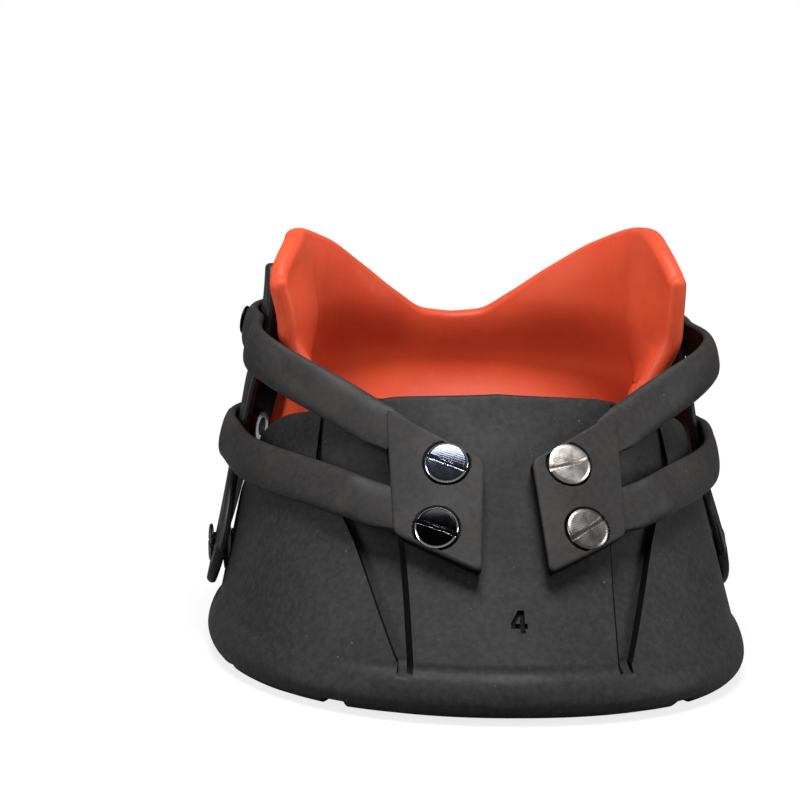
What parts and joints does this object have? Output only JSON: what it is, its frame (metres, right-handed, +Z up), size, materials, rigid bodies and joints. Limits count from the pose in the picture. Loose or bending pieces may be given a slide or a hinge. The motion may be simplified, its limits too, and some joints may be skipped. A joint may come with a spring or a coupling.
{
  "type": "horse hoof boot",
  "caption": "Moulded rubber hoof boot whose soft heel cuff tilts back on side pivots and is held forward by Y-shaped rubber straps screwed to the toe wall.",
  "frame": {"origin": "centre of the sole's flat ground face", "axes": "+Z up, toe towards -Y, heel towards +Y, +X to the right seen from the front"},
  "size_m": [0.1298, 0.1338, 0.0995],
  "materials": {
    "shell_rubber": "matte moulded rubber",
    "strap_rubber": "matte dusty rubber",
    "wrap_rubber": "matte rubber",
    "liner_foam": "soft matte silicone-like foam",
    "chrome": "polished",
    "satin_steel": "satin"
  },
  "bodies": {
    "boot_shell": {"shell": "shell_rubber", "strap_left": "strap_rubber", "strap_screw_left_upper": "chrome", "tee_nut_left_upper": "satin_steel", "strap_screw_left_lower": "chrome", "tee_nut_left_lower": "satin_steel", "pivot_screw_left": "satin_steel", "pivot_washer_left": "satin_steel", "pivot_nut_left": "satin_steel", "strap_right": "strap_rubber", "strap_screw_right_upper": "satin_steel", "tee_nut_right_upper": "satin_steel", "strap_screw_right_lower": "satin_steel", "tee_nut_right_lower": "satin_steel", "pivot_screw_right": "satin_steel", "pivot_washer_right": "satin_steel", "pivot_nut_right": "satin_steel"},
    "heel_cuff": {"heel_liner": "liner_foam", "heel_wrap": "wrap_rubber", "strap_stud_left_upper": "satin_steel", "stud_nut_left_upper": "satin_steel", "strap_stud_left_lower": "satin_steel", "stud_nut_left_lower": "satin_steel", "strap_stud_right_upper": "satin_steel", "stud_nut_right_upper": "satin_steel", "strap_stud_right_lower": "satin_steel", "stud_nut_right_lower": "satin_steel"}
  },
  "joints": [
    {"name": "cuff_tilt", "type": "hinge", "parent": "boot_shell", "child": "heel_cuff", "pos_m": [0, 0.016, 0.0225], "axis": [-1, 0, 0], "range_deg": [0, 15], "stiffness_Nm_per_rad": 0.8, "springref_deg": -14.32, "deforming": ["strap_left", "strap_right"]}
  ]
}
